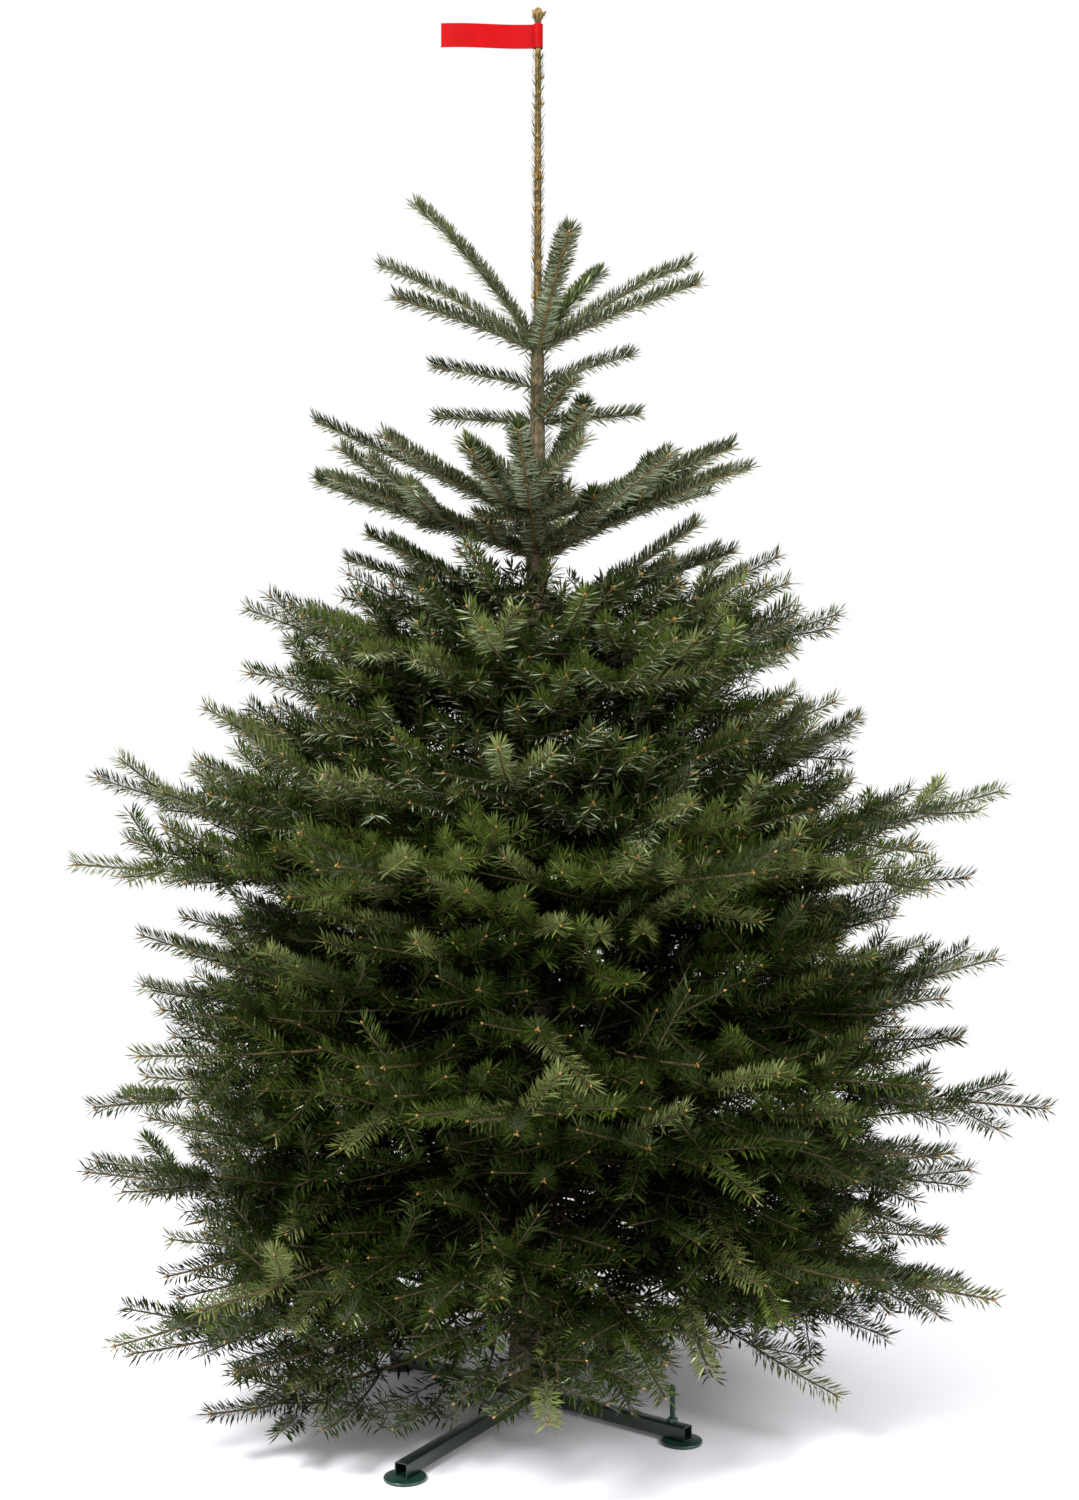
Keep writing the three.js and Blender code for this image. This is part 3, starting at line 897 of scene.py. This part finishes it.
bud_list = [b for position, aim, order in tips if order < 2 for b in buds_round(position, aim, order)]
leader_tip = trunk_middle(tree_top - 0.014)
for turn in np.arange(5) * math.tau / 5:
    outwards = level_heading(turn)
    bud_list.append((leader_tip + outwards * 0.0048 - UP * 0.002, unit(UP + outwards * 0.75), LEADER_RING_BUD))
bud_list.append((leader_tip + UP * 0.001, UP, LEADER_BUD))
for height in LEADER_BUD_HEIGHTS:
    stem, radius = trunk_middle(height), trunk_radius(height)
    for turn in rng.uniform(0, math.tau, 2):
        outwards = level_heading(turn)
        bud_list.append((stem + outwards * radius, unit(UP + outwards * 0.8), LEADER_SIDE_BUD))
bud_points = new_mesh("bud_points", [b[0] for b in bud_list], [], [])
store(bud_points, "aim", [b[1] for b in bud_list])
store(bud_points, "bud_size", [b[2] for b in bud_list])
buds = run_tree(bud_points, *bud_tree(), {"Bud": bud_shape(), "Finish": bud_scales}, "buds")
print("buds", len(bud_list), "triangles", triangles(buds))

# %% [markdown]
# ## The trunk's bark
# The trunk is one skin from the cut foot to the leader: a grid of rings round the model's axis, pushed in
# and out a little. A collar swells where each whorl of boughs leaves it, fine wrinkles run round it, and
# blisters of resin stand on the older wood. The leader is a finer grid of its own, in the tan of young
# wood.

# %% Trunk and leader
WHORL_HEIGHTS = [0.285, 0.52, 0.77, 1.03, 1.264, 1.579]
LEADER_START = 1.592
RELIEF_DEPTH = 0.0006
# Wrinkles, swellings and blisters: how often each pattern repeats in a metre round the trunk and up it, and
# where it starts. Then their heights in metres.
RELIEFS = [(90, 260, 0), (25, 14, 0), (70, 70, 9)]
WRINKLE, SWELLING, BLISTER, FEW_BLISTERS = 0.00035, 0.0012, 0.004, 0.35
COLLAR_LENGTH, COLLAR_SHARE, SMOOTH_WOOD = 0.014, 0.09, 0.02


def stack_mesh(name, rings, material):
    """A closed skin through rings of points, each ring the same way round."""
    count = len(rings[0])
    corners = [point for ring in rings for point in ring]
    faces = [(low + i, low + (i + 1) % count, low + count + (i + 1) % count, low + count + i)
             for low in range(0, count * (len(rings) - 1), count) for i in range(count)]
    for ring, first in ((rings[0], 0), (rings[-1], (len(rings) - 1) * count)):
        middle = len(corners)
        corners.append(np.mean(ring, axis=0))
        turn = 1 if first else -1
        faces += [(middle, first + i, first + (i + 1) % count)[::turn] for i in range(count)]
    mesh = new_mesh(name, corners, [], faces, material)
    mesh.shade_smooth()
    return add_object(name, mesh)


def bark_relief(turn, height, radius):
    """How far the bark stands proud, in metres."""
    x, y = math.cos(turn) * radius, math.sin(turn) * radius
    wrinkle, swelling, blister = [noise.noise(Vector((x * across, y * across, height * up + start)))
                                  for across, up, start in RELIEFS]
    relief = wrinkle * WRINKLE + swelling * SWELLING + max(blister - FEW_BLISTERS, 0.0) * BLISTER
    collar = sum(math.exp(-((height - whorl) / COLLAR_LENGTH) ** 2) for whorl in WHORL_HEIGHTS)
    return relief * min(radius / SMOOTH_WOOD, 1.0) + collar * COLLAR_SHARE * radius


def bark_stack(name, heights, around, material):
    """The bark between some heights, with so many points in each ring."""
    turns = np.arange(around) / around * math.tau
    rings = []
    for height in heights:
        middle, radius = trunk_middle(height), trunk_radius(height)
        rings.append([middle + level_heading(t) * (radius - RELIEF_DEPTH + bark_relief(t, height, radius))
                      for t in turns])
    return stack_mesh(name, rings, material)


trunk_skin = bark_stack("trunk_bark", np.arange(trunk_foot, LEADER_START + 0.004, 0.004), 56, trunk_bark)
leader_skin = bark_stack("leader_bark", np.arange(LEADER_START, tree_top - 0.002, 0.003), 18, leader_bark)
print("trunk", triangles(trunk_skin), "triangles, leader", triangles(leader_skin))

# %% [markdown]
# ## Needles on the trunk
# The leader and the last few summers of trunk still carry needles, short ones that lie close along the
# bark.

# %% Needles along the leader
ROWS, PLACES = 9, 24
BARE_BELOW = 1.16
LEADER_NEEDLE_SPACING, TRUNK_NEEDLE_SPACING = 0.0048, 0.0042
flag_low, flag_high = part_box("flag")


def needle_row(low, high, turn, size):
    """A row of places up one side of the stem, which needles spring from as they do from a shoot."""
    outwards = level_heading(turn)
    heights = np.linspace(low, high, PLACES)
    points = np.array([trunk_middle(h) + outwards * trunk_radius(h) * 0.9 for h in heights])
    return {"points": points, "thick": np.zeros(PLACES), "age": 1, "needles": 0.85, "size": size,
            "over": outwards}


row_turns = np.arange(ROWS) * math.tau / ROWS
leader_rows = [needle_row(low, high, turn, 0.5) for turn in row_turns
               for low, high in ((LEADER_START, flag_low[2] - 0.013), (flag_high[2], tree_top - 0.02))]
trunk_rows = [needle_row(BARE_BELOW, LEADER_START, turn, 0.8) for turn in row_turns]
set_needles(leader_rows, "leader_needles", "green_needle", LEADER_NEEDLE_SPACING, (0.0, 0.7), lean=0.5)
set_needles(trunk_rows, "upper_trunk_needles", "grey_needle", TRUNK_NEEDLE_SPACING, (0.0, 0.8), lean=0.8)

# %% [markdown]
# ## The flag
# A paper flag is folded round the leader and stuck to itself. It is a single strip, so it is made by
# following its middle line: out along one side, round the stem, and back along the other, with a slight
# wave. It is blank.

# %% Paper flag
FLAG_LOOP, HALF_GAP, HALF_THICK = 0.0071, 0.0004, 0.00018
FLAG_WAVE, WAVES_PER_METRE, FLAG_TILT = 0.0022, 42, 0.012
paper = drifting("coated_red_paper", 0.03, "#8a0205", "#920306", Roughness=0.6, IOR=1.15)[0]


def flag_line():
    """The strip's middle line seen from above, from its free end round the stem and back."""
    stem = trunk_middle((flag_low[2] + flag_high[2]) / 2)
    outwards = np.linspace(stem[0] - flag_low[0], FLAG_LOOP * 0.96, 22)
    wave = FLAG_WAVE * np.sin(outwards * WAVES_PER_METRE)
    near_side = [(stem[0] - x, stem[1] - HALF_GAP + w) for x, w in zip(outwards, wave)]
    turns = np.linspace(math.pi + 0.2, 3 * math.pi - 0.2, 22)
    round_stem = [(stem[0] + FLAG_LOOP * math.cos(t), stem[1] + FLAG_LOOP * math.sin(t)) for t in turns]
    far_side = [(x, y + 2 * HALF_GAP) for x, y in near_side][::-1]
    return np.array(near_side + round_stem + far_side)


def strip_mesh(name, line, low, high, material):
    """A standing strip of paper along a line seen from above."""
    along = np.gradient(line, axis=0)
    normal = np.stack([-along[:, 1], along[:, 0]], 1) / np.linalg.norm(along, axis=1)[:, None] * HALF_THICK
    rings = []
    for (x, y), (nx, ny) in zip(line, normal):
        tilt = (line[:, 0].max() - x) * FLAG_TILT
        rings.append([(x - nx, y - ny, low + tilt), (x + nx, y + ny, low + tilt),
                      (x + nx, y + ny, high + tilt), (x - nx, y - ny, high + tilt)])
    piece = stack_mesh(name, rings, material)
    piece.data.shade_flat()
    return piece


flag_piece = strip_mesh("paper_flag", flag_line(), flag_low[2], flag_high[2] - 0.002, paper)
print("flag", [round(v, 3) for v in flag_piece.dimensions])

# %% [markdown]
# ## The stand
# The stand is square steel tube, welded into a cross and dipped in very dark green enamel. Drawn tube has
# rounded corners and a thin wall that shows at its open ends, so each bar is a rounded outline with another
# inside it. The feet, the plate and the spindle are turned pieces: a profile spun round an upright axis.

# %% Enamel
RIPPLE = 0.003


def enamel(name, light, dark, roughness):
    """Dipped enamel on steel, IOR 1.5: glossy, with a faint ripple."""
    material, tree, shader, place = drifting(name, 0.04, dark, light, Roughness=roughness, IOR=1.5,
                                             Coat_Weight=0.4, Coat_Roughness=0.2)
    roughen(tree, shader, place, RIPPLE, 2.0, 0.25, 0.0004)
    return material


bar_enamel = enamel("dark_green_enamel", "#0d261d", "#071610", 0.38)
foot_enamel = enamel("green_enamel_on_feet", "#15382d", "#0d271f", 0.42)
print("enamels", bar_enamel.name, "and", foot_enamel.name)

# %% Bars
(_, _, BAR_LOW), (_, _, BAR_HIGH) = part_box("cross_frame")
WALL, OUTER_CORNER, INNER_CORNER = 0.0016, 0.0025, 0.0012
FOOT_INSET = 0.010
foot_boxes = {number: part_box(f"foot_{number}") for number in (1, 2, 3, 4)}
foot_middles = {number: np.array([(a[0] + b[0]) / 2, (a[1] + b[1]) / 2, 0.0])
                for number, (a, b) in foot_boxes.items()}


def crisp(piece, degrees):
    """Parts the shading at every edge that turns by more than some degrees."""
    piece.modifiers.new("crisp_edges", "EDGE_SPLIT").split_angle = math.radians(degrees)
    return piece


def rounded_square(half, corner):
    """Points round a square outline with rounded corners."""
    points = []
    for quarter in range(4):
        centre = math.pi / 4 + quarter * math.pi / 2
        middle_x = (half - corner) * math.copysign(1, math.cos(centre))
        middle_y = (half - corner) * math.copysign(1, math.sin(centre))
        for turn in np.linspace(quarter, quarter + 1, 5) * math.pi / 2:
            points.append((middle_x + corner * math.cos(turn), middle_y + corner * math.sin(turn)))
    return points


def square_tube(name, start, end):
    """An open square tube with a wall, from one point to another at the bars' height."""
    out = unit(end - start)
    side = np.array([-out[1], out[0], 0.0])
    half = (BAR_HIGH - BAR_LOW) / 2
    lift = UP * (BAR_LOW + half)
    outer, inner = rounded_square(half, OUTER_CORNER), rounded_square(half - WALL, INNER_CORNER)
    corners = [place + lift + side * x + UP * y
               for place, outline in ((start, outer), (end, outer), (end, inner), (start, inner))
               for x, y in outline]
    count = len(outer)
    faces = []
    for band in range(4):
        this, other = band * count, (band + 1) % 4 * count
        faces += [(this + i, this + (i + 1) % count, other + (i + 1) % count, other + i) for i in range(count)]
    mesh = new_mesh(name, corners, [], faces, bar_enamel)
    mesh.shade_smooth()
    return crisp(add_object(name, mesh), 40)


def bar_end(number, other):
    """A bar's end, past the middle of its foot."""
    return foot_middles[number] + unit(foot_middles[number] - foot_middles[other]) * FOOT_INSET


hub = np.array([*trunk_middle(trunk_foot)[:2], 0.0])
WELD = 0.0095
bars = [square_tube("long_bar", bar_end(2, 1), bar_end(1, 2)),
        square_tube("right_bar", hub + unit(foot_middles[3] - hub) * WELD, bar_end(3, 4)),
        square_tube("left_bar", hub + unit(foot_middles[4] - hub) * WELD, bar_end(4, 3))]
print("bars", [round(max(bar.dimensions[:2]), 3) for bar in bars])

# %% [markdown]
# A turned piece starts and ends close to its axis, where it is closed. The spindle's thread is drawn as a
# row of sharp rings, which looks the same as a thread at this size.

# %% Turned pieces
NEAR_AXIS = 0.0005
PIN_RADIUS = 0.011
THREAD_PITCH, THREAD_DEPTH = 0.0014, 0.0006
NUT_RADIUS, NUT_HEIGHT = 0.0075, 0.0065


def spun(name, profile, middle, material, around):
    """A profile of radii and heights spun round an upright axis."""
    turns = np.arange(around) / around * math.tau
    rings = [[(middle[0] + r * math.cos(t), middle[1] + r * math.sin(t), z) for t in turns]
             for r, z in profile]
    return crisp(stack_mesh(name, rings, material), 35)


def arc_profile(radius, low, high, ease):
    """A disc's edge with rounded rims, from under its middle to over it."""
    turns = np.linspace(0, math.pi / 2, 5)
    under = [(radius - ease + ease * math.sin(t), low + ease - ease * math.cos(t)) for t in turns]
    over = [(radius - ease + ease * math.cos(t), high - ease + ease * math.sin(t)) for t in turns]
    return [(NEAR_AXIS, low)] + under + over + [(NEAR_AXIS, high)]


feet = [spun(f"turned_foot_{number}", arc_profile((b[0] - a[0]) / 2, a[2], b[2], 0.0016), foot_middles[number],
             foot_enamel, 56) for number, (a, b) in foot_boxes.items()]
plate_low, plate_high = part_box("pin_plate")
plate_top = trunk_foot - 0.0004
plate_profile = arc_profile((plate_high[0] - plate_low[0]) / 2, plate_low[2], plate_top, 0.001)[:-1] + [
    (PIN_RADIUS, plate_top), (PIN_RADIUS, plate_high[2] - PIN_RADIUS), (0.004, plate_high[2] - 0.0005),
    (NEAR_AXIS, plate_high[2])]
plate = spun("plate_with_pin", plate_profile, hub, bar_enamel, 56)

screw_low, screw_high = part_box("levelling_screw")
screw_middle = (screw_low + screw_high) / 2
screw_radius = (screw_high[0] - screw_low[0]) / 2
screw_profile = [(NEAR_AXIS, screw_low[2])]
for height in np.arange(screw_low[2] + 0.0005, screw_high[2] - THREAD_PITCH, THREAD_PITCH):
    screw_profile += [(screw_radius - THREAD_DEPTH, height), (screw_radius, height + THREAD_PITCH / 2)]
screw_profile += [(screw_radius - 2 * THREAD_DEPTH, screw_high[2]), (NEAR_AXIS, screw_high[2])]
screw = spun("threaded_spindle", screw_profile, screw_middle, foot_enamel, 24)
nut_profile = arc_profile(NUT_RADIUS, screw_low[2], screw_low[2] + NUT_HEIGHT, 0.0006)
nut = spun("spindle_nut", nut_profile, screw_middle, foot_enamel, 6)
print("stand pieces", len(bars) + len(feet) + 3)

# %% [markdown]
# ## Camera, light and floor
# The whole tree is seen from a little under three metres, at the height of its own waist, with a lens that
# just takes it in. Two large soft lights and a pale surround light it as a studio would.

# %% Camera
EYE_DISTANCE, EYE_HEIGHT, EYE_TO_RIGHT = 2.845, 0.981, 0.011
camera_data = bpy.data.cameras.new("camera")
camera_data.lens, camera_data.sensor_width = 45.4, 36.0
camera = add_object("camera", camera_data)
camera.location = (hub[0] + EYE_TO_RIGHT, hub[1] - EYE_DISTANCE, EYE_HEIGHT)
camera.rotation_euler = (math.pi / 2, 0.0, 0.0)
bpy.context.scene.camera = camera
print("camera at", [round(v, 3) for v in camera.location])

# %% Light
def soft_light(name, place, target, size, power):
    """A round soft light that faces a target."""
    data = bpy.data.lights.new(name, "AREA")
    data.shape, data.size, data.energy = "DISK", size, power
    light = add_object(name, data)
    light.location = place
    light.rotation_mode = "QUATERNION"
    light.rotation_quaternion = (Vector(target) - Vector(place)).to_track_quat("-Z", "Y")


soft_light("key", place=(-2.4, -3.0, 3.6), target=(0, 0, 1.0), size=1.2, power=330)
soft_light("fill", place=(3.0, -2.6, 2.4), target=(0, 0, 0.9), size=1.6, power=130)
world = bpy.data.worlds.new("studio")
world.use_nodes = True
surround = world.node_tree.nodes["Background"]
surround.inputs["Color"].default_value, surround.inputs["Strength"].default_value = linear("#ffffff"), 1.0
bpy.context.scene.world = world
bpy.context.scene.view_settings.view_transform = "Standard"
print("lights", len(bpy.data.lights))

# %% [markdown]
# The floor takes the tree's shadow, and further out it fades into the white surround, so that no edge
# shows.

# %% Floor
FLOOR_REACH = 9
FADE_START, FADE_END = 0.8, 2.2
floor_corners = [(x * FLOOR_REACH, y * FLOOR_REACH, 0) for x, y in ((-1, -1), (1, -1), (1, 1), (-1, 1))]
floor_material, floor_tree, floor_shader, floor_place = new_material(
    "pale_studio_floor", Base_Color=linear("#f6f4fa"), Roughness=0.7)
from_middle = add(floor_tree, "ShaderNodeVectorMath", {"operation": "LENGTH"}, {0: floor_place})
floor_fade = add(floor_tree, "ShaderNodeMapRange", {"interpolation_type": "SMOOTHSTEP"}, {
    "Value": from_middle.outputs["Value"], "From Min": FADE_START, "From Max": FADE_END})
no_floor = add(floor_tree, "ShaderNodeBsdfTransparent")
floor_mix = add(floor_tree, "ShaderNodeMixShader", {}, {
    "Fac": floor_fade.outputs["Result"], 1: floor_shader.outputs["BSDF"], 2: no_floor.outputs["BSDF"]})
floor_tree.links.new(floor_mix.outputs["Shader"], floor_tree.nodes["Material Output"].inputs["Surface"])
add_object("floor", new_mesh("floor", floor_corners, [], [(0, 1, 2, 3)], floor_material))
print("floor fades from", FADE_START, "to", FADE_END, "m")

# %% [markdown]
# ## What each piece stands for
# Every finished piece rides on the model's one body and takes the place of the rough solids that it was
# grown from, which are hidden.

# %% Attach each piece and hide what it replaces
def stands_for(piece, finish, *replaced):
    """One piece's body, and the nodes of the model that it takes the place of. The finish is not used."""
    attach(piece, "root")
    if replaced:
        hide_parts(*replaced)


for piece in needle_pieces:
    stands_for(piece, "young_needles" if "grey" in piece.name or "leader" in piece.name else "lower_needles")
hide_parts(*mass_names)
for piece in wood[:-1]:
    stands_for(piece, "bark")
stands_for(wood[-1], "bark", *[n for n in nodes if n.startswith("second_whorl_bough")])
stands_for(buds, "bark")
stands_for(trunk_skin, "bark", "trunk")
stands_for(leader_skin, "bark")
stands_for(flag_piece, "label_paper", "flag")
stands_for(bars[0], "stand_paint", "cross_frame")
for bar in bars[1:]:
    stands_for(bar, "stand_paint")
for number, piece in enumerate(feet, 1):
    stands_for(piece, "foot_paint", f"foot_{number}")
stands_for(plate, "stand_paint", "pin_plate")
stands_for(screw, "screw_steel", "levelling_screw")
stands_for(nut, "screw_steel")
print("pieces", len(needle_pieces) + len(wood) + len(bars) + len(feet) + 7)
